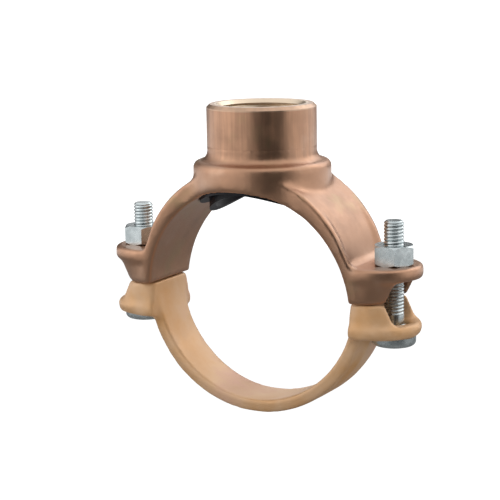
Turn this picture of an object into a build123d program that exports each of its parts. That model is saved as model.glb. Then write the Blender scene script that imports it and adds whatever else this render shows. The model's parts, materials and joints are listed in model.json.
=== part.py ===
from build123d import *
from math import hypot, radians, sin, sqrt
import os

# A bolted branch outlet for 4 in copper tube, with a 1 1/4 in female thread.
# Frame: the tube's axis is Y, the outlet's axis is +Z and the bolts stand on the X axis.
# The origin is the centre of the tube on the outlet's axis.
# The clamp is drawn closed with no tube in it, so the strap sits higher than on a tube.

# The tube that the clamp goes round
tube_radius = 52.4

# Outlet housing: the saddle
bore_clearance = 0.8
saddle_thickness = 5.6
rim_width = 4.0
recess_gap = 6.4
recess_depth = 2.4
recess_corner_radius = 3.0
recess_floor_radius = 1.6
saddle_foot_half_width = 19.4
saddle_taper = 0.084
saddle_edge_radius = 1.2
parting_height = 3.9

# Outlet housing: the threaded boss, and the collar round the seal pocket
thread_radius = 19.5
thread_length = 26.0
mouth_chamfer = 1.7
waterway_step = 0.8
boss_wall = 6.4
boss_height = 24.6
boss_chamfer = 1.5
boss_fillet = 1.2
collar_shelf = 6.7
collar_wall = 2.6
collar_rise = 8.4
collar_edge_radius = 1.6
collar_foot_radius = 2.0
saddle_fillet = 3.0

# Seal pocket, locating ring and seal
pocket_depth = 4.6
locating_wall = 3.3
locating_drop = 1.4
seal_clearance = 0.15
seal_flange_proud = 0.9
seal_nose_wall = 3.3
seal_sag = 1.3
seal_sag_shift = 9.0

# Bolt pads, on both housings
bolt_standoff = 8.9
pad_inset = 1.8
pad_height = 16.4
ledge_thickness = 6.2
pad_foot_reach = 15.0
pad_neck_reach = 23.6
pad_nose_reach = 24.8
pad_foot_half_width = 19.0
pad_nose_half_width = 20.6
pad_edge_radius = 1.6
slot_half_width = 11.4
slot_inner_gap = 7.4
slot_corner_radius = 3.0
bolt_hole_clearance = 0.9

# Lower housing: the strap
strap_clearance = 0.2
closing_gap = 3.4
parting_gap = 0.3
strap_thickness = 6.0
strap_half_width = 12.4
strap_edge_radius = 1.0
rib_half_width = 7.6
rib_height = 5.1
rib_end_angle = 60.0
strap_pad_shift = 2.6
strap_pad_foot_half_width = 17.4
strap_pad_nose_half_width = 19.2

# Bolts and nuts: 3/8 in, 16 threads to the inch
bolt_radius = 4.7
bolt_end_length = 11.2
bolt_end_chamfer = 1.0
head_radius = 10.2
head_height = 4.6
head_edge_radius = 2.2
head_clearance = 0.5
neck_length = 5.4
neck_long_half = 6.7
neck_clearance = 0.2
nut_across_flats = 17.46
nut_height = 9.1
nut_bore_clearance = 0.08
nut_corner_rise = 1.0
nut_turn = -65.0

# Sizes that follow from those above
bore_radius = tube_radius + bore_clearance
rim_radius = bore_radius + saddle_thickness
boss_radius = thread_radius + boss_wall
collar_radius = boss_radius + collar_shelf
pocket_radius = collar_radius - collar_wall
waterway_radius = thread_radius - waterway_step
locating_radius = waterway_radius + locating_wall
seal_nose_radius = locating_radius + seal_nose_wall
collar_base = bore_radius / 2
collar_top = rim_radius + collar_rise
boss_top = collar_top + boss_height
bolt_offset = rim_radius + bolt_standoff
bolt_hole_radius = bolt_radius + bolt_hole_clearance
pad_centre = rim_radius - pad_inset
ledge_top = parting_height + pad_height
recess_start = collar_radius + recess_gap
recess_start_height = sqrt(rim_radius**2 - recess_start**2)
recess_foot_radius = rim_radius - recess_depth
recess_centre = (rim_radius**2 - recess_foot_radius**2) / (2 * (recess_start_height - ledge_top))
recess_radius = hypot(recess_start, recess_start_height - recess_centre)
bolt_top = ledge_top + nut_height + bolt_end_length
strap_radius = tube_radius + strap_clearance
strap_outer_radius = strap_radius + strap_thickness
strap_parting = parting_height - parting_gap
strap_ledge = strap_parting - pad_height
rib_shift = rib_height / sin(radians(rib_end_angle))
reach = 3 * rim_radius
overcut = 1.0


def saddle_width(inset):
    """The saddle seen along X: a trapezium that narrows towards its feet."""
    foot = saddle_foot_half_width - inset
    top = foot + saddle_taper * (reach - parting_height)
    with BuildSketch(Plane.YZ) as outline:
        with BuildLine():
            Polyline((-foot, parting_height), (foot, parting_height), (top, reach), (-top, reach), close=True)
        make_face()
    return outline.sketch


def bolt_pad(side, up, parting, shift, foot_half_width, nose_half_width):
    """A bolt pad: a pouch that widens from its foot on the parting face to a flat ledge."""
    top = parting + up * pad_height
    centre = side * (pad_centre + shift)
    with BuildPart() as pad:
        with BuildSketch(Plane.XY.offset(top)):
            with Locations((centre, 0)):
                Ellipse(pad_nose_reach - shift, nose_half_width)
        extrude(amount=-up * ledge_thickness)
        fillet(pad.edges().filter_by(GeomType.ELLIPSE), pad_edge_radius)
        with BuildSketch(Plane.XY.offset(parting)):
            with Locations((centre, 0)):
                Ellipse(pad_foot_reach - shift, foot_half_width)
        with BuildSketch(Plane.XY.offset(top - up * ledge_thickness / 2)):
            with Locations((centre, 0)):
                Ellipse(pad_neck_reach - shift, nose_half_width - pad_edge_radius / 2)
        loft()
        with BuildSketch(Plane.XY.offset(parting)):
            Rectangle(2 * tube_radius, 3 * nose_half_width)
        extrude(amount=up * pad_height, mode=Mode.SUBTRACT)
    return pad.part


def bolt_slot(side, up, parting):
    """The space under a ledge, open outwards, where the bolt stands between two walls."""
    inner = side * (bolt_offset - slot_inner_gap)
    outer = inner + side * pad_nose_reach
    with BuildPart() as slot:
        with BuildSketch(Plane.XY.offset(parting - up * overcut)) as plan:
            with Locations(((inner + outer) / 2, 0)):
                Rectangle(pad_nose_reach, 2 * slot_half_width)
            blind_end = plan.vertices().sort_by(Axis.X)
            fillet(blind_end[:2] if side > 0 else blind_end[-2:], slot_corner_radius)
        extrude(amount=up * (overcut + pad_height - ledge_thickness))
    return slot.part


# The shallow recess on each side of the collar, between the saddle's two rims.
# Its floor is a circle that leaves the saddle's own at the collar's side and is deepest at the ledge.
with BuildPart() as saddle_recess:
    with BuildSketch(Plane.XZ):
        Rectangle(2 * reach, 2 * reach)
        with Locations((0, recess_centre)):
            Circle(recess_radius, mode=Mode.SUBTRACT)
        Rectangle(2 * recess_start, 2 * reach, mode=Mode.SUBTRACT)
    extrude(amount=reach, both=True)
    extrude(saddle_width(rim_width), amount=reach, both=True, mode=Mode.INTERSECT)
    recess_lines = saddle_recess.edges().filter_by(GeomType.LINE)
    start_corners = recess_lines.filter_by(Axis.X, reverse=True).filter_by(Axis.Y, reverse=True)
    fillet([line for line in start_corners if abs((line @ 0.5).X) < rim_radius], recess_corner_radius)
    fillet(saddle_recess.edges().filter_by(GeomType.ELLIPSE), recess_floor_radius)

outlet_pads = [
    bolt_pad(side, 1, parting_height, 0, pad_foot_half_width, pad_nose_half_width)
    for side in (-1, 1)
]
outlet_slots = [bolt_slot(side, 1, parting_height) for side in (-1, 1)]

# The ring-shaped pocket for the seal, between the locating ring and the collar's wall
with BuildPart() as seal_pocket:
    with BuildSketch(Plane.XY):
        Circle(pocket_radius)
    extrude(amount=reach)
    with BuildSketch(Plane.XZ):
        Circle(bore_radius + pocket_depth)
    extrude(amount=reach, both=True, mode=Mode.INTERSECT)

# The ring of the housing that stands into the hole in the tube
with BuildPart() as locating_ring:
    with BuildSketch(Plane.XY):
        Circle(locating_radius)
    extrude(amount=bore_radius + pocket_depth + overcut)
    with BuildSketch(Plane.XZ):
        Circle(bore_radius - locating_drop)
    extrude(amount=reach, both=True, mode=Mode.SUBTRACT)

with BuildPart() as outlet_housing:
    # Saddle: half a ring that narrows towards its feet
    with BuildSketch(Plane.XZ):
        Circle(rim_radius)
        with Locations((0, parting_height)):
            Rectangle(reach, reach, align=(Align.CENTER, Align.MAX), mode=Mode.SUBTRACT)
    extrude(amount=reach, both=True)
    extrude(saddle_width(0), amount=reach, both=True, mode=Mode.INTERSECT)

    # Collar over the seal pocket, after the saddle's edges are rounded, so its blend can run round them
    with BuildSketch(Plane.XY.offset(collar_base)):
        Circle(collar_radius)
    extrude(amount=collar_top - collar_base)
    rim_edges = [e for e in outlet_housing.edges().filter_by(GeomType.ELLIPSE) if abs((e @ 0.5).X) > collar_radius]
    fillet(rim_edges, saddle_edge_radius)
    foot_edges = [
        edge
        for edge in outlet_housing.edges().filter_by(GeomType.LINE, reverse=True)
        if collar_base < (edge @ 0.5).Z < collar_top
        and abs(Vector((edge @ 0.5).X, (edge @ 0.5).Y).length - collar_radius) < saddle_edge_radius
    ]
    fillet(foot_edges, saddle_fillet)
    add(saddle_recess.part, mode=Mode.SUBTRACT)

    # Threaded boss on the collar
    with BuildSketch(Plane.XY.offset(collar_top)):
        Circle(boss_radius)
    extrude(amount=boss_top - collar_top)
    rings = outlet_housing.edges().filter_by(GeomType.CIRCLE).filter_by(Plane.XY).sort_by(Axis.Z)
    chamfer(rings[-1], boss_chamfer)
    collar_rings = outlet_housing.edges().filter_by(GeomType.CIRCLE).filter_by_position(
        Axis.Z, collar_top, collar_top
    )
    fillet(collar_rings.sort_by(SortBy.RADIUS)[-1], collar_edge_radius)
    boss_foot = outlet_housing.edges().filter_by(GeomType.CIRCLE).filter_by_position(
        Axis.Z, collar_top, collar_top
    )
    fillet(boss_foot.sort_by(SortBy.RADIUS)[0], boss_fillet)

    for pad in outlet_pads:
        add(pad)

    # Bore for the tube, seal pocket and locating ring
    with BuildSketch(Plane.XZ):
        Circle(bore_radius)
    extrude(amount=reach, both=True, mode=Mode.SUBTRACT)
    collar_feet = [
        edge
        for edge in outlet_housing.edges()
        if abs(hypot((edge @ 0.5).X, (edge @ 0.5).Z) - bore_radius) < overcut / 10
        and abs(hypot((edge @ 0.5).X, (edge @ 0.5).Y) - collar_radius) < overcut / 10
    ]
    fillet(collar_feet, collar_foot_radius)
    add(seal_pocket.part, mode=Mode.SUBTRACT)
    add(locating_ring.part)

    # Waterway and threaded mouth
    with BuildSketch(Plane.XY):
        Circle(waterway_radius)
    extrude(amount=boss_top, mode=Mode.SUBTRACT)
    with BuildSketch(Plane.XY.offset(boss_top - thread_length)):
        Circle(thread_radius)
    extrude(amount=thread_length, mode=Mode.SUBTRACT)
    mouth = outlet_housing.edges().filter_by(GeomType.CIRCLE).filter_by_position(Axis.Z, boss_top, boss_top)
    chamfer(mouth.sort_by(SortBy.RADIUS)[0], mouth_chamfer)

    # Slots and holes for the bolts
    for slot in outlet_slots:
        add(slot, mode=Mode.SUBTRACT)
    with BuildSketch(Plane.XY.offset(ledge_top)):
        with Locations((-bolt_offset, 0), (bolt_offset, 0)):
            Circle(bolt_hole_radius)
    extrude(amount=-pad_height, mode=Mode.SUBTRACT)

# The seal's nose, which lines the hole in the tube. The soft rubber sags to one side until it is clamped.
with BuildPart() as seal_nose:
    with BuildSketch(Plane.XY):
        Circle(seal_nose_radius)
    extrude(amount=reach)
    with BuildSketch(Plane.XZ):
        with Locations((seal_sag_shift, -seal_sag)):
            Circle(bore_radius)
    extrude(amount=reach, both=True, mode=Mode.SUBTRACT)

# The seal: a saddle-shaped flange in the pocket, with the nose
with BuildPart() as outlet_gasket:
    with BuildSketch(Plane.XY):
        Circle(pocket_radius - seal_clearance)
    extrude(amount=reach)
    with BuildSketch(Plane.XZ):
        Circle(bore_radius - seal_flange_proud)
    extrude(amount=reach, both=True, mode=Mode.SUBTRACT)
    add(seal_nose.part)
    with BuildSketch(Plane.XZ):
        Circle(bore_radius + pocket_depth - seal_clearance)
    extrude(amount=reach, both=True, mode=Mode.INTERSECT)
    with BuildSketch(Plane.XY):
        Circle(locating_radius + seal_clearance)
    extrude(amount=reach, mode=Mode.SUBTRACT)

strap_pads = [
    bolt_pad(
        side,
        -1,
        strap_parting,
        strap_pad_shift,
        strap_pad_foot_half_width,
        strap_pad_nose_half_width,
    )
    for side in (-1, 1)
]
strap_slots = [bolt_slot(side, -1, strap_parting) for side in (-1, 1)]

with BuildPart() as lower_housing:
    # Strap: half a ring about the tube, with a rib that rises towards the pads
    with BuildSketch(Plane.XZ.offset(-strap_half_width)):
        with Locations((0, closing_gap)):
            Circle(strap_outer_radius)
        with Locations((0, strap_parting)):
            Rectangle(reach, reach, align=(Align.CENTER, Align.MIN), mode=Mode.SUBTRACT)
    extrude(amount=2 * strap_half_width)
    fillet(lower_housing.edges().filter_by(GeomType.CIRCLE), strap_edge_radius)
    with BuildSketch(Plane.XZ.offset(-rib_half_width)):
        with Locations((0, closing_gap + rib_shift)):
            Circle(strap_outer_radius + rib_height)
        with Locations((0, strap_parting)):
            Rectangle(reach, reach, align=(Align.CENTER, Align.MIN), mode=Mode.SUBTRACT)
    extrude(amount=2 * rib_half_width)
    for pad in strap_pads:
        add(pad)
    with BuildSketch(Plane.XZ):
        with Locations((0, closing_gap)):
            Circle(strap_radius)
    extrude(amount=reach, both=True, mode=Mode.SUBTRACT)
    for slot in strap_slots:
        add(slot, mode=Mode.SUBTRACT)
    with BuildSketch(Plane.XY.offset(strap_ledge)):
        with Locations((-bolt_offset, 0), (bolt_offset, 0)):
            Circle(head_radius + head_clearance)
    extrude(amount=-pad_height, mode=Mode.SUBTRACT)
    with BuildSketch(Plane.XY.offset(strap_ledge)):
        with Locations((-bolt_offset, 0), (bolt_offset, 0)):
            SlotCenterToCenter(
                2 * (neck_long_half - bolt_radius),
                2 * (bolt_radius + neck_clearance),
            )
    extrude(amount=pad_height, mode=Mode.SUBTRACT)


def track_bolt(x):
    """A round-headed bolt with an oval neck that keeps it from turning in the strap."""
    with BuildPart() as bolt:
        with BuildSketch(Plane.XY.offset(strap_ledge)):
            with Locations((x, 0)):
                Circle(head_radius)
        extrude(amount=-head_height)
        fillet(bolt.edges().group_by(Axis.Z)[0], head_edge_radius)
        with BuildSketch(Plane.XY.offset(strap_ledge)):
            with Locations((x, 0)):
                SlotCenterToCenter(2 * (neck_long_half - neck_clearance - bolt_radius), 2 * bolt_radius)
        extrude(amount=neck_length)
        with BuildSketch(Plane.XY.offset(strap_ledge)):
            with Locations((x, 0)):
                Circle(bolt_radius)
        extrude(amount=bolt_top - strap_ledge)
        chamfer(bolt.edges().group_by(Axis.Z)[-1], bolt_end_chamfer)
    return bolt.part


def heavy_nut(x):
    """A heavy hexagon nut whose corners are chamfered on both faces."""
    corner_radius = nut_across_flats / 3**0.5
    profile_plane = Plane(origin=(x, 0, ledge_top), x_dir=(1, 0, 0), z_dir=(0, -1, 0))
    with BuildPart() as nut:
        with BuildSketch(Plane.XY.offset(ledge_top)):
            with Locations((x, 0)):
                RegularPolygon(corner_radius, 6, rotation=nut_turn)
        extrude(amount=nut_height)
        with BuildSketch(profile_plane):
            with BuildLine():
                Polyline(
                    (0, 0),
                    (nut_across_flats / 2, 0),
                    (corner_radius, nut_corner_rise),
                    (corner_radius, nut_height - nut_corner_rise),
                    (nut_across_flats / 2, nut_height),
                    (0, nut_height),
                    close=True,
                )
            make_face()
        revolve(axis=Axis((x, 0, 0), (0, 0, 1)), mode=Mode.INTERSECT)
        with BuildSketch(Plane.XY.offset(ledge_top)):
            with Locations((x, 0)):
                Circle(bolt_radius + nut_bore_clearance)
        extrude(amount=nut_height, mode=Mode.SUBTRACT)
    return nut.part


nodes = {
    "outlet_housing": outlet_housing.part,
    "outlet_gasket": outlet_gasket.part,
    "lower_housing": lower_housing.part,
    "bolt_left": track_bolt(-bolt_offset),
    "bolt_right": track_bolt(bolt_offset),
    "nut_left": heavy_nut(-bolt_offset),
    "nut_right": heavy_nut(bolt_offset),
}

os.makedirs("parts", exist_ok=True)
for name, solid in nodes.items():
    solid.label = name
    export_step(solid, f"parts/{name}.step")
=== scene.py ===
import json
import math

import bpy
import numpy as np
from mathutils import Matrix, Vector


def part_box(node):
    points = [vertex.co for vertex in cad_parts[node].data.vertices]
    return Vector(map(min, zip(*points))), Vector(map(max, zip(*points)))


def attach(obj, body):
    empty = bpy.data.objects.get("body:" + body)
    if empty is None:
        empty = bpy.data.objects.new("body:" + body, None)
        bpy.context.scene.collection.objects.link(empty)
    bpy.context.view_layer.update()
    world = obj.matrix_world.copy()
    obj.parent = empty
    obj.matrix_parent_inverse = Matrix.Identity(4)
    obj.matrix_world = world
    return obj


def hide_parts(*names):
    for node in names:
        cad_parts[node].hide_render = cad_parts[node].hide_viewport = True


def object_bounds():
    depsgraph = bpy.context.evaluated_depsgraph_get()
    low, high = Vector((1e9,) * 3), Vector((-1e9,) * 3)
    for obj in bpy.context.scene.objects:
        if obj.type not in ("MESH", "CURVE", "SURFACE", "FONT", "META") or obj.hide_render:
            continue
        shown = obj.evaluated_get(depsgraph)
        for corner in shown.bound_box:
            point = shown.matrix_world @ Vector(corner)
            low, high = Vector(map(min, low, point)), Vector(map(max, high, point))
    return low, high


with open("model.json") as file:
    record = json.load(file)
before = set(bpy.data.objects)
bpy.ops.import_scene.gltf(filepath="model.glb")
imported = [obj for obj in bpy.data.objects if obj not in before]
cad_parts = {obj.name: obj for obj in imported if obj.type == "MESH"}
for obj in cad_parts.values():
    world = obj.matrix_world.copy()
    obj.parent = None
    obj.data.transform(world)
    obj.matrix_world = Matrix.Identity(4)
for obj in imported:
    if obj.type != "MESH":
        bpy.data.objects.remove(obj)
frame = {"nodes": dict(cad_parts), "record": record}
nodes = frame["nodes"]
cad_low, cad_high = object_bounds()
MM = 0.001

# The view
# The camera stands to the right of the tube's axis and a little above it, as for a catalogue picture.
# It leans by one degree.
VIEW_AZIMUTH = math.radians(29.38)
VIEW_ELEVATION = math.radians(10.68)
VIEW_ROLL = math.radians(-1.0)
VIEW_DISTANCE = 750.9 * MM
VIEW_ACROSS = -6.83 * MM
VIEW_UP = 17.88 * MM
VIEW_CENTRE_HEIGHT = 3.39 * MM
LENS_MM = 112.9
SENSOR_MM = 36.0


def direction(azimuth, elevation):
    """The unit vector from the fitting towards a place at this azimuth and elevation."""
    return Vector(
        (
            math.sin(azimuth) * math.cos(elevation),
            -math.cos(azimuth) * math.cos(elevation),
            math.sin(elevation),
        )
    )


back = direction(VIEW_AZIMUTH, VIEW_ELEVATION)
level = Vector((math.cos(VIEW_AZIMUTH), math.sin(VIEW_AZIMUTH), 0))
upright = back.cross(level)
right = level * math.cos(VIEW_ROLL) + upright * math.sin(VIEW_ROLL)
up = upright * math.cos(VIEW_ROLL) - level * math.sin(VIEW_ROLL)
centre = Vector((0, 0, VIEW_CENTRE_HEIGHT)) + right * VIEW_ACROSS + up * VIEW_UP

camera_data = bpy.data.cameras.new("camera")
camera_data.lens = LENS_MM
camera_data.sensor_width = SENSOR_MM
camera_data.clip_start = 0.01
camera_data.clip_end = 20.0
camera = bpy.data.objects.new("camera", camera_data)
bpy.context.scene.collection.objects.link(camera)
turn = Matrix((right, up, back)).transposed().to_4x4()
camera.matrix_world = Matrix.Translation(centre + back * VIEW_DISTANCE) @ turn
bpy.context.scene.camera = camera
bpy.context.scene.view_settings.view_transform = "Standard"

# The studio
# A white floor that glows, low enough for the strap to open, in a white surround with soft boxes.
# The camera doesn't see the dark cards: a screen behind it with a runner up to it, a table under the
# fitting, and a flag behind that on each side, which draws a thin dark line round every piece.
FLOOR_REACH = 6.0
FLOOR_COLOUR = (0.3, 0.3, 0.3, 1)
FLOOR_GLOW = 0.97
CARD_ROUGHNESS = 0.8
SURROUND_COLOUR = (1, 1, 1, 1)
SURROUND_STRENGTH = 1.07
BOX_DISTANCE = 1.1
BOXES = (
    ("left_box", -85, 25, 0.7, 1.0, 1.5),
    ("right_box", 80, 48, 0.7, 0.9, 0.6),
    ("back_box", 136, 32, 0.9, 0.7, 3.0),
)
SCREEN_COLOUR = (0.02, 0.02, 0.02, 1)
SCREEN_DISTANCE = 1.3
SCREEN_FROM = math.radians(-23)
SCREEN_TO = math.radians(51)
SCREEN_HEIGHT = 1.1
RUNNER_NEAR = 0.3
TABLE_COLOUR = (0.2, 0.2, 0.2, 1)
TABLE_RADIUS = 0.48
TABLE_CORNERS = 24
FLAG_COLOUR = (0.03, 0.03, 0.03, 1)
FLAG_DISTANCE = 1.2
FLAG_FROM = math.radians(7)
FLAG_TO = math.radians(44)
FLAG_HEIGHT = 0.85


def stage_card(name, corners, colour, glow=0.0, seen=False, shades=False):
    """A flat card of the studio from its corners, which only gloss shows.

    The camera sees it too where seen is true, and where shades is true it darkens what faces it.
    """
    mesh = bpy.data.meshes.new(name)
    mesh.from_pydata(corners, [], [tuple(range(len(corners)))])
    material = bpy.data.materials.new(name)
    material.use_nodes = True
    card_shader = material.node_tree.nodes["Principled BSDF"]
    card_shader.inputs["Base Color"].default_value = colour
    card_shader.inputs["Roughness"].default_value = CARD_ROUGHNESS
    card_shader.inputs["Specular IOR Level"].default_value = 0.0
    card_shader.inputs["Emission Color"].default_value = (1, 1, 1, 1)
    card_shader.inputs["Emission Strength"].default_value = glow
    mesh.materials.append(material)
    card = bpy.data.objects.new(name, mesh)
    bpy.context.scene.collection.objects.link(card)
    card.visible_camera = seen
    card.visible_diffuse = seen or shades
    card.visible_shadow = seen


joints = frame["record"]["behaviour"]["joints"]
opening = next(joint for joint in joints if joint["name"] == "clamp_opening")
floor_z = cad_low.z - opening["range_m"][1]
floor_corners = [
    (-FLOOR_REACH, -FLOOR_REACH, floor_z),
    (FLOOR_REACH, -FLOOR_REACH, floor_z),
    (FLOOR_REACH, FLOOR_REACH, floor_z),
    (-FLOOR_REACH, FLOOR_REACH, floor_z),
]
stage_card("floor", floor_corners, FLOOR_COLOUR, glow=FLOOR_GLOW, seen=True)


def upright_card(name, from_angle, to_angle, distance, height, colour):
    """A card that stands on the floor between two angles from the camera's side, and its two feet."""
    ways = [direction(VIEW_AZIMUTH + angle, 0) for angle in (from_angle, to_angle)]
    feet = [way * distance + Vector((0, 0, floor_z + MM)) for way in ways]
    heads = [foot + Vector((0, 0, height)) for foot in reversed(feet)]
    stage_card(name, feet + heads, colour)
    return feet


screen_feet = upright_card(
    "dark_screen", SCREEN_FROM, SCREEN_TO, SCREEN_DISTANCE, SCREEN_HEIGHT, SCREEN_COLOUR
)
runner_near = [
    Vector((foot.x, foot.y, 0)) * (RUNNER_NEAR / SCREEN_DISTANCE) + Vector((0, 0, floor_z + 2 * MM))
    for foot in reversed(screen_feet)
]
stage_card("dark_runner", screen_feet + runner_near, SCREEN_COLOUR)
table_angles = [2 * math.pi * corner / TABLE_CORNERS for corner in range(TABLE_CORNERS)]
table_height = Vector((0, 0, floor_z + MM))
table_corners = [direction(angle, 0) * TABLE_RADIUS + table_height for angle in table_angles]
stage_card("dark_table", table_corners, TABLE_COLOUR, shades=True)
for flag_name, flag_side in (("left_flag", 1), ("right_flag", -1)):
    flag_angles = (math.pi + flag_side * FLAG_FROM, math.pi + flag_side * FLAG_TO)
    upright_card(flag_name, *flag_angles, FLAG_DISTANCE, FLAG_HEIGHT, FLAG_COLOUR)

world = bpy.data.worlds.new("surround")
world.use_nodes = True
world.node_tree.nodes["Background"].inputs["Color"].default_value = SURROUND_COLOUR
world.node_tree.nodes["Background"].inputs["Strength"].default_value = SURROUND_STRENGTH
bpy.context.scene.world = world

for box_name, box_turn, box_rise, box_width, box_height, box_watts in BOXES:
    light = bpy.data.lights.new(box_name, "AREA")
    light.shape = "RECTANGLE"
    light.size = box_width
    light.size_y = box_height
    light.energy = box_watts
    towards = direction(VIEW_AZIMUTH + math.radians(box_turn), math.radians(box_rise))
    lamp = bpy.data.objects.new(box_name, light)
    bpy.context.scene.collection.objects.link(lamp)
    lamp.location = centre + towards * BOX_DISTANCE
    lamp.rotation_mode = "QUATERNION"
    lamp.rotation_quaternion = towards.to_track_quat("Z", "Y")
    lamp.visible_camera = False

# The outlet housing
# One bronze casting, shot-blasted and left bare. Its saddle grows thicker towards the collar, and soft
# fillets join its forms. Its boss is turned and tapped with a 1 1/4 in pipe thread.
mouth_mount = next(m for m in frame["record"]["mounts"] if m["name"] == "outlet")
MOUTH_RADIUS = mouth_mount["dims"]["r_mm"] * MM
MOUTH_DEPTH = 26.0 * MM
MOUTH_CHAMFER = 1.7 * MM
MOUTH_PITCH = 25.4 / 11.5 * MM
MOUTH_THREAD_DEPTH = 1.4 * MM
MOUTH_COLUMNS = 120
MOUTH_STEPS_A_TURN = 10
THREAD_FLAT = 0.2
MOUTH_WIDENING = 1.8 * MM
BOSS_RADIUS = 25.9 * MM
BOSS_HEIGHT = 24.6 * MM
BOSS_CHAMFER = 1.5 * MM
BOSS_SEAT_HEIGHT = 5.0 * MM
BOSS_SEAT_DEPTH = 0.06 * MM
BORE_RADIUS = 53.2 * MM
RIM_RADIUS = 58.8 * MM
COLLAR_RADIUS = 32.6 * MM
COLLAR_WALL = 1.3 * MM
SHOULDER_RADIUS = 3.2 * MM
SHELF_DROP = 1.8 * MM
SHELF_DROP_REACH = 8.0 * MM
SADDLE_HALF_WIDTH = 23.1 * MM
SADDLE_TAPER = 0.084
GUSSET_RADIUS = 22.0 * MM
GUSSET_STEPS = 16
GUSSET_FOOT = 1.6 * MM
CROWN_RISE = 7.0 * MM
CROWN_FADE_ANGLE = math.radians(65)
CROWN_SOFTNESS = 0.12
CROWN_SKIN = 2.0 * MM
CROWN_END = (4.0 * MM, 7.0 * MM)
CROWN_GAP = (1.0 * MM, 0.1 * MM)
OUTLET_NOSE_DRAW = 1.0 * MM
NOSE_FROM = 70.0 * MM
NOSE_TO = 82.0 * MM
MERGE_STEP = 1e-7
GRID_STEP = 0.85 * MM
CASTING_FILLET = 2.5 * MM
SOOTHING_PASSES = 6
SOOTHING_SHARES = (0.5, -0.53)
BRONZE_DARK = (0.29, 0.155, 0.09, 1)
BRONZE_WARM = (0.43, 0.235, 0.14, 1)
BRONZE_PALE = (0.52, 0.335, 0.235, 1)
BRONZE_OLIVE = (0.38, 0.255, 0.13, 1)
BRONZE_CUT = (0.74, 0.60, 0.45, 1)
GRAIN_BELOW_TOP = 25.0 * MM
GRAIN_FADE = 1.5 * MM
CUT_RING = (2.4 * MM, 2.9 * MM)
CUT_BELOW_TOP = (2.2 * MM, 1.9 * MM)
SHARP_ANGLE = math.radians(38)
WALL_CLOSENESS = 0.02 * MM

boss_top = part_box("outlet_housing")[1].z
collar_top = boss_top - BOSS_HEIGHT
boss_seat = collar_top + BOSS_SEAT_HEIGHT
shelf_top = collar_top - SHELF_DROP
mouth_floor = boss_top - MOUTH_DEPTH
boss_middle = (MOUTH_RADIUS + BOSS_RADIUS) / 2


def smooth_step(low, high, value):
    """0 at low, 1 at high, and 3t^2 - 2t^3 between them."""
    t = np.clip((value - low) / (high - low), 0, 1)
    return t * t * (3 - 2 * t)


def crown_lift(points):
    """How far the saddle's outer skin stands above the plain half ring, point by point.

    The skin follows a circle whose centre is raised by CROWN_RISE, so at an angle a from the top
    the lift is CROWN_RISE (cos a - cos fade) / cos a. It fades out at the bore and above the skin.
    """
    x, y, z = points.T
    distance = np.hypot(x, z)
    cosine = np.sqrt(1 - np.clip(np.abs(x) / RIM_RADIUS, 0, 0.9) ** 2)
    above = np.clip(cosine - math.cos(CROWN_FADE_ANGLE), 0, 1)
    lift = CROWN_RISE * above * smooth_step(0, CROWN_SOFTNESS, above) / cosine
    skin = smooth_step(BORE_RADIUS, RIM_RADIUS - CROWN_SKIN, distance)
    skin = skin * (1 - smooth_step(RIM_RADIUS + CROWN_END[0], RIM_RADIUS + CROWN_END[1], distance))
    beside = smooth_step(COLLAR_RADIUS - CROWN_GAP[0], COLLAR_RADIUS - CROWN_GAP[1], np.hypot(x, y))
    return lift * skin * beside * (z > 0)


def drawn_nose(x, draw):
    """The pads' tips brought nearer to the bolts by a length, more and more towards their ends."""
    return x - np.sign(x) * draw * smooth_step(NOSE_FROM, NOSE_TO, np.abs(x))


def shape_housing(points):
    """The crown raised, the collar's shelf lowered and rounded, and the pads' tips drawn in.

    The shelf's drop fades out up the boss and down the collar. A point of the collar beyond the
    shoulder's arc comes straight back to the arc.
    """
    x, y, z = points.T
    radius = np.hypot(x, y)
    drop = smooth_step(boss_seat, collar_top, z) * smooth_step(collar_top - SHELF_DROP_REACH, collar_top, z)
    z = z + crown_lift(points) - SHELF_DROP * drop * (radius > boss_middle)
    outwards = radius - (COLLAR_RADIUS - SHOULDER_RADIUS)
    upwards = z - (shelf_top - SHOULDER_RADIUS)
    reach = np.maximum(np.hypot(outwards, upwards), SHOULDER_RADIUS)
    corner = (outwards > 0) & (upwards > 0) & (upwards < 2 * SHOULDER_RADIUS)
    back = np.where(corner, SHOULDER_RADIUS / reach - 1, 0)
    inwards = 1 + outwards * back / np.maximum(radius, MM)
    return np.stack([drawn_nose(x * inwards, OUTLET_NOSE_DRAW), y * inwards, z + upwards * back], axis=1)


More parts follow.
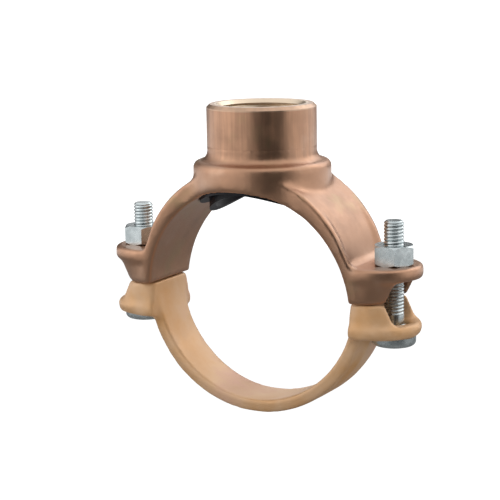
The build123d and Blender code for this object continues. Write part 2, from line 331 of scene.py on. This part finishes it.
def collar_gusset(side, front):
    """The filler between the collar's wall and the saddle's side, hollow in plan, as points and faces.

    In plan it is an arc that touches the collar's circle and the saddle's side. Its sections across
    the tube run from the bore up to the skin and from inside the collar's wall to the arc, and their
    lower outer corner is cut off, less and less away from the collar.
    """
    arc_y = SADDLE_HALF_WIDTH + GUSSET_RADIUS
    arc_x = math.sqrt((COLLAR_RADIUS + GUSSET_RADIUS) ** 2 - arc_y**2)
    start = arc_x * COLLAR_RADIUS / (COLLAR_RADIUS + GUSSET_RADIUS)
    x = np.linspace(start, arc_x, GUSSET_STEPS)
    outer = arc_y - np.sqrt(GUSSET_RADIUS**2 - (x - arc_x) ** 2)
    inner = np.sqrt(np.maximum((COLLAR_RADIUS - COLLAR_WALL) ** 2 - x**2, 0))
    low = np.sqrt(BORE_RADIUS**2 - x**2)
    high = np.sqrt(RIM_RADIUS**2 - x**2)
    share = (x - start) / (arc_x - start)
    lean = SADDLE_TAPER * (high - low) / 2 * share
    foot = GUSSET_FOOT * (1 - share)
    section_y = np.stack([outer - lean - foot, outer - lean, outer + lean, inner, inner], axis=1)
    section_z = np.stack([low, low + foot, high, high, low], axis=1)
    corners = section_y.shape[1]
    points = [side * np.repeat(x, corners), front * section_y.ravel(), section_z.ravel()]
    points = np.stack(points, axis=1)
    first = corners * np.arange(GUSSET_STEPS - 1)[:, None]
    here = np.arange(corners)[None, :]
    there = (here + 1) % corners
    following = first + corners
    quads = np.stack([first + here, first + there, following + there, following + here], axis=-1)
    last = corners * (GUSSET_STEPS - 1)
    ends = [list(range(corners - 1, -1, -1)), list(range(last, last + corners))]
    return points, quads.reshape(-1, 4).tolist() + ends


def read_casting(mesh):
    """A node's points, merged where they meet, and its triangles."""
    points = np.empty(len(mesh.vertices) * 3)
    mesh.vertices.foreach_get("co", points)
    points = points.reshape(-1, 3)
    corners = np.empty(len(mesh.loops), dtype=np.int32)
    mesh.loops.foreach_get("vertex_index", corners)
    places = np.round(points / MERGE_STEP).astype(np.int64)
    _, first, merged = np.unique(places, axis=0, return_index=True, return_inverse=True)
    triangles = merged.reshape(-1)[corners].reshape(-1, 3)
    whole = (np.diff(np.sort(triangles, axis=1), axis=1) > 0).all(axis=1)
    return points[first], triangles[whole]


def grid_skin(points, faces):
    """The outer skin of closed shapes that may overlap, made again on an even grid, as points and quads."""
    mesh = bpy.data.meshes.new("grid")
    mesh.from_pydata(points.tolist(), [], faces)
    holder = bpy.data.objects.new("grid", mesh)
    bpy.context.scene.collection.objects.link(holder)
    remesh = holder.modifiers.new("grid", "REMESH")
    remesh.mode = "VOXEL"
    remesh.voxel_size = GRID_STEP
    made = bpy.data.meshes.new_from_object(holder.evaluated_get(bpy.context.evaluated_depsgraph_get()))
    skin = np.empty(len(made.vertices) * 3)
    made.vertices.foreach_get("co", skin)
    corners = np.empty(len(made.loops), dtype=np.int32)
    made.loops.foreach_get("vertex_index", corners)
    bpy.data.objects.remove(holder)
    bpy.data.meshes.remove(mesh)
    bpy.data.meshes.remove(made)
    return skin.reshape(-1, 3), corners.reshape(-1, 4)


def grown(points, quads, amount):
    """The skin moved outwards by an amount along its normals.

    The normal at a point is the sum of the cross products of the diagonals of the faces round it.
    """
    corners = points[quads]
    across = np.cross(corners[:, 2] - corners[:, 0], corners[:, 3] - corners[:, 1])
    normals = [np.bincount(quads.ravel(), np.repeat(across[:, axis], 4), len(points)) for axis in range(3)]
    normals = np.stack(normals, axis=1)
    normals /= np.maximum(np.linalg.norm(normals, axis=1, keepdims=True), 1e-12)
    return points + normals * np.reshape(amount, (-1, 1))


def soothed(points, quads):
    """Points drawn to the mean of their neighbours and out again, which takes away ripples but no size."""
    first = quads.ravel()
    second = np.roll(quads, -1, axis=1).ravel()
    count = np.bincount(first, minlength=len(points)) + np.bincount(second, minlength=len(points))
    for share in SOOTHING_SHARES * SOOTHING_PASSES:
        sums = [
            np.bincount(first, points[second, axis], len(points))
            + np.bincount(second, points[first, axis], len(points))
            for axis in range(3)
        ]
        points = points + share * (np.stack(sums, axis=1) / count[:, None] - points)
    return points


def filleted(points, quads):
    """A casting with its inner corners filled: grown by the fillet's radius, skinned and drawn back."""
    points, quads = grid_skin(grown(points, quads, CASTING_FILLET), quads.tolist())
    points, quads = grid_skin(grown(points, quads, -CASTING_FILLET), quads.tolist())
    return soothed(points, quads), quads


def helix_share(turns, height, pitch):
    """The depth of a thread, 0 at its crest and 1 at its root, with flats on both and straight flanks."""
    phase = (height / pitch - turns) % 1.0
    return np.clip(np.abs(2 * phase - 1) * (1 + 2 * THREAD_FLAT) - THREAD_FLAT, 0, 1)


def turned_mouth():
    """The turned and tapped end of the boss, as a closed band of rings: its points and faces.

    The rings run from inside the casting out to the boss's wall, up over both chamfers and down the
    mouth, where the radius is the mouth's plus the thread's depth times the helix share.
    """
    turns = np.arange(MOUTH_COLUMNS) / MOUTH_COLUMNS
    rim = (
        (BOSS_RADIUS - MM, boss_seat),
        (BOSS_RADIUS, boss_seat),
        (BOSS_RADIUS, boss_top - BOSS_CHAMFER),
        (BOSS_RADIUS - BOSS_CHAMFER, boss_top),
        (MOUTH_RADIUS + MOUTH_CHAMFER, boss_top),
    )
    low, high = mouth_floor, boss_top - MOUTH_CHAMFER
    steps = int((high - low) / MOUTH_PITCH * MOUTH_STEPS_A_TURN)
    height = np.linspace(high, low, steps)[:, None]
    ends = smooth_step(low, low + MOUTH_PITCH, height) * (1 - smooth_step(high - MOUTH_PITCH, high, height))
    tapped = MOUTH_RADIUS + MOUTH_THREAD_DEPTH * ends * helix_share(turns[None, :], height, MOUTH_PITCH)
    radius = np.concatenate([np.array([[ring[0]] * MOUTH_COLUMNS for ring in rim]), tapped])
    height = np.concatenate([np.array([[ring[1]] for ring in rim]), height])
    angle = 2 * np.pi * turns[None, :]
    points = np.stack([radius * np.cos(angle), radius * np.sin(angle), height + 0 * angle], axis=-1)
    row = np.arange(len(height))[:, None] * MOUTH_COLUMNS
    above = np.roll(row, -1, axis=0)
    here = np.arange(MOUTH_COLUMNS)[None, :]
    there = (here + 1) % MOUTH_COLUMNS
    quads = np.stack([row + here, row + there, above + there, above + here], axis=-1)
    return points.reshape(-1, 3), quads.reshape(-1, 4)


def new_piece(name, points, faces, body, material):
    """A piece from its points and faces, with its material, on a body."""
    mesh = bpy.data.meshes.new(name)
    mesh.from_pydata(points.tolist(), [], faces)
    mesh.materials.append(material)
    mesh.shade_smooth()
    piece = bpy.data.objects.new(name, mesh)
    bpy.context.scene.collection.objects.link(piece)
    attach(piece, body)
    return piece


def new_shader(name):
    """A new material with its node list and its Principled shader."""
    material = bpy.data.materials.new(name)
    material.use_nodes = True
    tree = material.node_tree
    return material, tree, tree.nodes["Principled BSDF"]


def place_node(tree, stretch=(1, 1, 1)):
    """The place on the piece in metres, stretched along its axes."""
    place = tree.nodes.new("ShaderNodeTexCoord")
    mapping = tree.nodes.new("ShaderNodeMapping")
    mapping.inputs["Scale"].default_value = stretch
    tree.links.new(place.outputs["Object"], mapping.inputs["Vector"])
    return mapping.outputs["Vector"]


def noise_node(tree, vector, scale, detail=4.0, roughness=0.55):
    """Soft random values at a number of patches to the metre."""
    noise = tree.nodes.new("ShaderNodeTexNoise")
    noise.inputs["Scale"].default_value = scale
    noise.inputs["Detail"].default_value = detail
    noise.inputs["Roughness"].default_value = roughness
    tree.links.new(vector, noise.inputs["Vector"])
    return noise.outputs["Fac"]


def ramp_node(tree, value, stops):
    """A colour for each value, from (position, colour) stops."""
    ramp = tree.nodes.new("ShaderNodeValToRGB")
    elements = ramp.color_ramp.elements
    while len(elements) < len(stops):
        elements.new(0.5)
    for element, (position, colour) in zip(elements, stops):
        element.position = position
        element.color = colour
    tree.links.new(value, ramp.inputs["Fac"])
    return ramp.outputs["Color"]


def range_node(tree, value, from_low, from_high, to_low, to_high):
    """A value carried smoothly from one range to another."""
    node = tree.nodes.new("ShaderNodeMapRange")
    node.interpolation_type = "SMOOTHSTEP"
    tree.links.new(value, node.inputs["Value"])
    node.inputs["From Min"].default_value = from_low
    node.inputs["From Max"].default_value = from_high
    node.inputs["To Min"].default_value = to_low
    node.inputs["To Max"].default_value = to_high
    return node.outputs["Result"]


def maths_node(tree, operation, first, second):
    """Two values joined by an operation; either may be a plain number."""
    node = tree.nodes.new("ShaderNodeMath")
    node.operation = operation
    for socket, value in zip(node.inputs, (first, second)):
        if isinstance(value, (int, float)):
            socket.default_value = value
        else:
            tree.links.new(value, socket)
    return node.outputs["Value"]


def mix_node(tree, share, first, second, blend="MIX"):
    """Two colours mixed by a share; a colour may be a plain one."""
    node = tree.nodes.new("ShaderNodeMix")
    node.data_type = "RGBA"
    node.blend_type = blend
    node.clamp_factor = True
    for socket, value in ((node.inputs[0], share), (node.inputs[6], first), (node.inputs[7], second)):
        if isinstance(value, (int, float, tuple)):
            socket.default_value = value
        else:
            tree.links.new(value, socket)
    return node.outputs[2]


def bump_node(tree, shader, height, strength, depth):
    """Small relief from a height, on the shader's normal."""
    bump = tree.nodes.new("ShaderNodeBump")
    bump.inputs["Strength"].default_value = strength
    bump.inputs["Distance"].default_value = depth
    tree.links.new(height, bump.inputs["Height"])
    tree.links.new(bump.outputs["Normal"], shader.inputs["Normal"])


def bare_bronze():
    """Bare cast bronze: a satin skin with a fine grain, darkened unevenly by the air.

    On the boss the grain is finer and runs down in faint streaks, and the mouth's chamfer is freshly cut.
    """
    material, tree, shader = new_shader("bare_bronze")
    place = place_node(tree)
    split = tree.nodes.new("ShaderNodeSeparateXYZ")
    tree.links.new(place, split.inputs["Vector"])
    boss_start = boss_top - GRAIN_BELOW_TOP
    on_boss = range_node(tree, split.outputs["Z"], boss_start, boss_start + GRAIN_FADE, 0.0, 1.0)
    across = maths_node(tree, "MULTIPLY", split.outputs["X"], split.outputs["X"])
    along = maths_node(tree, "MULTIPLY", split.outputs["Y"], split.outputs["Y"])
    from_axis = maths_node(tree, "SQRT", maths_node(tree, "ADD", across, along), 0.0)
    cut_from, cut_to = (MOUTH_RADIUS + reach for reach in CUT_RING)
    inside = range_node(tree, from_axis, cut_from, cut_to, 1.0, 0.0)
    top_from, top_to = (boss_top - depth for depth in CUT_BELOW_TOP)
    at_top = range_node(tree, split.outputs["Z"], top_from, top_to, 0.0, 1.0)
    cut = maths_node(
        tree,
        "MAXIMUM",
        maths_node(tree, "MULTIPLY", inside, on_boss),
        maths_node(tree, "MULTIPLY", at_top, 0.25),
    )

    skin = ramp_node(
        tree,
        noise_node(tree, place, 34.0, 4.0, 0.5),
        ((0.26, BRONZE_DARK), (0.44, BRONZE_WARM), (0.58, BRONZE_WARM), (0.74, BRONZE_PALE)),
    )
    olive = range_node(tree, noise_node(tree, place, 55.0, 3.0), 0.52, 0.70, 0.0, 0.55)
    skin = mix_node(tree, olive, skin, BRONZE_OLIVE)
    streaks = noise_node(tree, place_node(tree, (1, 1, 0.06)), 420.0, 3.0)
    streaks = range_node(tree, streaks, 0.35, 0.68, 0.86, 1.08)
    streaked = mix_node(tree, on_boss, (1, 1, 1, 1), streaks)
    skin = mix_node(tree, 1.0, skin, streaked, "MULTIPLY")
    tree.links.new(mix_node(tree, cut, skin, BRONZE_CUT), shader.inputs["Base Color"])

    roughness = range_node(tree, noise_node(tree, place, 160.0, 3.0), 0.3, 0.7, 0.36, 0.46)
    tree.links.new(roughness, shader.inputs["Roughness"])
    blasted = maths_node(tree, "SUBTRACT", 1.0, maths_node(tree, "MULTIPLY", on_boss, 0.85))
    grain = maths_node(tree, "MULTIPLY", noise_node(tree, place, 1300.0, 4.0, 0.6), blasted)
    bump_node(tree, shader, grain, 0.4, 0.1 * MM)
    shader.inputs["Metallic"].default_value = 1.0
    shader.inputs["Coat Weight"].default_value = 0.5
    shader.inputs["Coat IOR"].default_value = 1.6
    shader.inputs["Coat Roughness"].default_value = 0.4
    return material


# Above its seat the boss is the turned band, so the casting ends there, and its mouth is widened
# for the thread.
casting_points, casting_faces = read_casting(nodes["outlet_housing"].data)
from_axis = np.hypot(casting_points[:, 0], casting_points[:, 1])
tapped = np.abs(from_axis - MOUTH_RADIUS) < WALL_CLOSENESS
tapped &= casting_points[:, 2] > mouth_floor - WALL_CLOSENESS
casting_points[tapped, :2] *= (MOUTH_RADIUS + MOUTH_WIDENING) / MOUTH_RADIUS
casting_points[:, 2] = np.minimum(casting_points[:, 2], boss_seat + MM)
casting_faces = casting_faces.tolist()
for gusset_side, gusset_front in ((-1, -1), (-1, 1), (1, -1), (1, 1)):
    gusset_points, gusset_faces = collar_gusset(gusset_side, gusset_front)
    casting_faces += [[corner + len(casting_points) for corner in face] for face in gusset_faces]
    casting_points = np.concatenate([casting_points, gusset_points])

casting_points, casting_quads = grid_skin(casting_points, casting_faces)
casting_points, casting_quads = filleted(shape_housing(casting_points), casting_quads)
from_axis = np.hypot(casting_points[:, 0], casting_points[:, 1])
covered = (casting_points[:, 2] > boss_seat) & (from_axis > boss_middle)
seated = np.minimum(1, (BOSS_RADIUS - BOSS_SEAT_DEPTH) / from_axis[covered])
casting_points[covered, :2] *= seated[:, None]
mouth_points, mouth_quads = turned_mouth()
outlet_casting = new_piece(
    "outlet_casting",
    np.concatenate([casting_points, mouth_points]),
    casting_quads.tolist() + (mouth_quads + len(casting_points)).tolist(),
    "housing",
    bare_bronze(),
)
outlet_casting.data.set_sharp_from_angle(angle=SHARP_ANGLE)
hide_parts("outlet_housing")

# The lower housing
# One ductile iron casting, dipped or sprayed in a copper-coloured enamel that keeps the grain of the iron.
PAINT_TAN = (0.60, 0.385, 0.225, 1)
PAINT_ORANGE = (0.54, 0.295, 0.125, 1)
PAINT_PINK = (0.60, 0.37, 0.27, 1)
STRAP_REACH = 60.0 * MM
STRAP_NOSE_DRAW = 1.8 * MM
LEDGE_ROUNDING = 2.0 * MM
ROUNDED_BELOW = -6.0 * MM
PAD_FADE = 4.0 * MM
ROUNDING_FADE = 3.0 * MM


def copper_paint():
    """Copper-coloured enamel with a little metal in it, clouded from orange to pink over the grain."""
    material, tree, shader = new_shader("copper_paint")
    place = place_node(tree)
    coat = ramp_node(
        tree,
        noise_node(tree, place, 30.0, 4.0),
        ((0.36, PAINT_ORANGE), (0.52, PAINT_TAN), (0.68, PAINT_PINK)),
    )
    tree.links.new(coat, shader.inputs["Base Color"])
    roughness = range_node(tree, noise_node(tree, place, 120.0), 0.3, 0.7, 0.34, 0.48)
    tree.links.new(roughness, shader.inputs["Roughness"])
    bump_node(tree, shader, noise_node(tree, place, 900.0, 4.0), 0.35, 0.1 * MM)
    shader.inputs["Metallic"].default_value = 0.25
    shader.inputs["Specular IOR Level"].default_value = 0.3
    return material


def pad_rounding(points):
    """The radius that the edges of the pads' ledges are rounded to, point by point."""
    on_pad = smooth_step(STRAP_REACH, STRAP_REACH + PAD_FADE, np.abs(points[:, 0]))
    return LEDGE_ROUNDING * on_pad * smooth_step(ROUNDED_BELOW, ROUNDED_BELOW - ROUNDING_FADE, points[:, 2])


strap_points, strap_faces = read_casting(nodes["lower_housing"].data)
strap_points, strap_quads = grid_skin(strap_points, strap_faces.tolist())
strap_points[:, 0] = drawn_nose(strap_points[:, 0], STRAP_NOSE_DRAW)
strap_points, strap_quads = grid_skin(
    grown(strap_points, strap_quads, -pad_rounding(strap_points)), strap_quads.tolist()
)
strap_points = grown(strap_points, strap_quads, pad_rounding(strap_points))
strap_points, strap_quads = filleted(strap_points, strap_quads)
strap_casting = new_piece(
    "strap_casting", strap_points, strap_quads.tolist(), "strap", copper_paint()
)
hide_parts("lower_housing")

# The seal
# One moulding of black rubber, greased, in the pocket of the outlet housing.
RUBBER_BLACK = (0.004, 0.004, 0.006, 1)
# A painted sheen: a faintly blue lift of the black, laid into the rubber's colour in soft random patches.
RUBBER_PAINTED_SHEEN = (0.012, 0.011, 0.018, 1)


def black_rubber():
    """Black rubber with a film of grease: nearly black with soft, faintly blue patches of painted sheen,
    and a faint grain.
    """
    material, tree, shader = new_shader("black_rubber")
    place = place_node(tree)
    # The painted sheen goes into the colour itself, in soft patches.
    sheen = ramp_node(tree, noise_node(tree, place, 70.0), ((0.4, RUBBER_BLACK), (0.7, RUBBER_PAINTED_SHEEN)))
    tree.links.new(sheen, shader.inputs["Base Color"])
    shader.inputs["Roughness"].default_value = 0.45
    shader.inputs["Specular IOR Level"].default_value = 0.2
    bump_node(tree, shader, noise_node(tree, place, 500.0), 0.15, 0.1 * MM)
    return material


nodes["outlet_gasket"].data.materials[0] = black_rubber()

# The bolts
# Track bolts, 3/8 in with 16 threads to the inch, headed and rolled from steel, then zinc plated.
# An oval neck under the round head sits in the slot of the lower housing.
BOLT_PITCH = 25.4 / 16 * MM
BOLT_RADIUS = 4.7 * MM
BOLT_THREAD_DEPTH = 0.44 * MM
BOLT_COLUMNS = 48
BOLT_STEPS_A_TURN = 10
BOLT_PLAIN_LENGTH = 4.0 * MM
BOLT_TIP = 1.0 * MM
HEAD_HEIGHT = 4.6 * MM
HEAD_EDGE = 2.2 * MM
HEAD_FLAT_SHARE = 0.55
HEAD_EDGE_ROWS = 9
HEAD_LIP = 0.15 * MM
NECK_RUN_OUT = 0.8 * MM
NECK_LENGTH = 5.4 * MM
NECK_LONG_HALF = 6.5 * MM
ZINC = (0.45, 0.50, 0.51, 1)
ZINC_PALE = (0.58, 0.63, 0.64, 1)


def zinc_plate():
    """Bright zinc plate over steel: faintly blue, with soft cloudy patches."""
    material, tree, shader = new_shader("bright_zinc")
    place = place_node(tree)
    clouds = ramp_node(tree, noise_node(tree, place, 220.0, 3.0), ((0.35, ZINC), (0.65, ZINC_PALE)))
    tree.links.new(clouds, shader.inputs["Base Color"])
    roughness = range_node(tree, noise_node(tree, place, 400.0), 0.3, 0.7, 0.24, 0.34)
    tree.links.new(roughness, shader.inputs["Roughness"])
    shader.inputs["Metallic"].default_value = 1.0
    return material


def oval_radius(angle, half_long, half_wide):
    """The distance from the middle to the side of a slot, two half circles joined by straight sides."""
    cosine, sine = np.abs(np.cos(angle)), np.abs(np.sin(angle))
    offset = half_long - half_wide
    straight = half_wide / np.maximum(sine, 1e-6)
    ended = offset * cosine + np.sqrt(np.maximum(half_wide**2 - (offset * sine) ** 2, 0))
    return np.where(straight * cosine <= offset, straight, ended)


def turned_solid(x, radius, height):
    """A solid about a vertical axis at x, from the radius at each row and column and each row's height.

    It is closed by one point on the axis below the first row and one above the last.
    """
    rows, columns = radius.shape
    angle = 2 * np.pi * np.arange(columns)[None, :] / columns
    points = [x + radius * np.cos(angle), radius * np.sin(angle), height[:, None] + 0 * angle]
    points = np.stack(points, axis=-1)
    poles = np.array([[x, 0, height[0]], [x, 0, height[-1]]])
    first = np.arange(rows - 1)[:, None] * columns
    here = np.arange(columns)[None, :]
    there = (here + 1) % columns
    following = first + columns
    quads = np.stack([first + here, first + there, following + there, following + here], axis=-1)
    here, there = here[0], there[0]
    bottom = np.stack([np.full(columns, rows * columns), there, here], axis=-1)
    last = (rows - 1) * columns
    top = np.stack([np.full(columns, rows * columns + 1), last + here, last + there], axis=-1)
    faces = quads.reshape(-1, 4).tolist() + bottom.tolist() + top.tolist()
    return np.concatenate([points.reshape(-1, 3), poles]), faces


def track_bolt(name):
    """One bolt: head, oval neck, short plain shank and rolled thread, as rows from the head up."""
    low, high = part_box(name)
    x = (low.x + high.x) / 2
    head_radius = (high.x - low.x) / 2
    ledge = low.z + HEAD_HEIGHT
    shank = ledge + NECK_LENGTH
    angle = 2 * np.pi * np.arange(BOLT_COLUMNS) / BOLT_COLUMNS
    turns = angle / (2 * np.pi)
    around = np.ones(BOLT_COLUMNS)

    bend = np.linspace(0, math.pi / 2, HEAD_EDGE_ROWS)
    edge_radius = head_radius - HEAD_EDGE + HEAD_EDGE * np.sin(bend)
    edge_height = low.z + HEAD_EDGE - HEAD_EDGE * np.cos(bend)
    rows = [(head_radius * HEAD_FLAT_SHARE * around, low.z)]
    rows += [(r * around, z) for r, z in zip(edge_radius, edge_height)]
    rows += [(head_radius * around, ledge - HEAD_LIP), ((head_radius - HEAD_LIP) * around, ledge)]
    oval = oval_radius(angle, NECK_LONG_HALF, BOLT_RADIUS)
    rows += [(oval, ledge), (oval, shank - NECK_RUN_OUT), (BOLT_RADIUS * around, shank)]
    threads = shank + BOLT_PLAIN_LENGTH
    steps = int((high.z - threads) / BOLT_PITCH * BOLT_STEPS_A_TURN)
    for z in np.linspace(threads, high.z, steps):
        start = smooth_step(threads, threads + BOLT_PITCH, z)
        tip = max(z - (high.z - BOLT_TIP), 0)
        cut = BOLT_THREAD_DEPTH * start * helix_share(turns, z, BOLT_PITCH)
        rows.append((np.minimum(BOLT_RADIUS - cut, BOLT_RADIUS - tip), z))
    radius = np.stack([row[0] for row in rows])
    height = np.array([row[1] for row in rows])
    points, faces = turned_solid(x, radius, height)
    bolt = new_piece(f"track_{name}", points, faces, "strap", zinc)
    bolt.data.set_sharp_from_angle(angle=SHARP_ANGLE)
    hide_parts(name)


zinc = zinc_plate()
for bolt_name in ("bolt_left", "bolt_right"):
    track_bolt(bolt_name)

# The nuts
# Heavy hexagon nuts on the bolts, plated like them and tightened on the ledges of the outlet housing.
for nut_name in ("nut_left", "nut_right"):
    nodes[nut_name].data.materials[0] = zinc
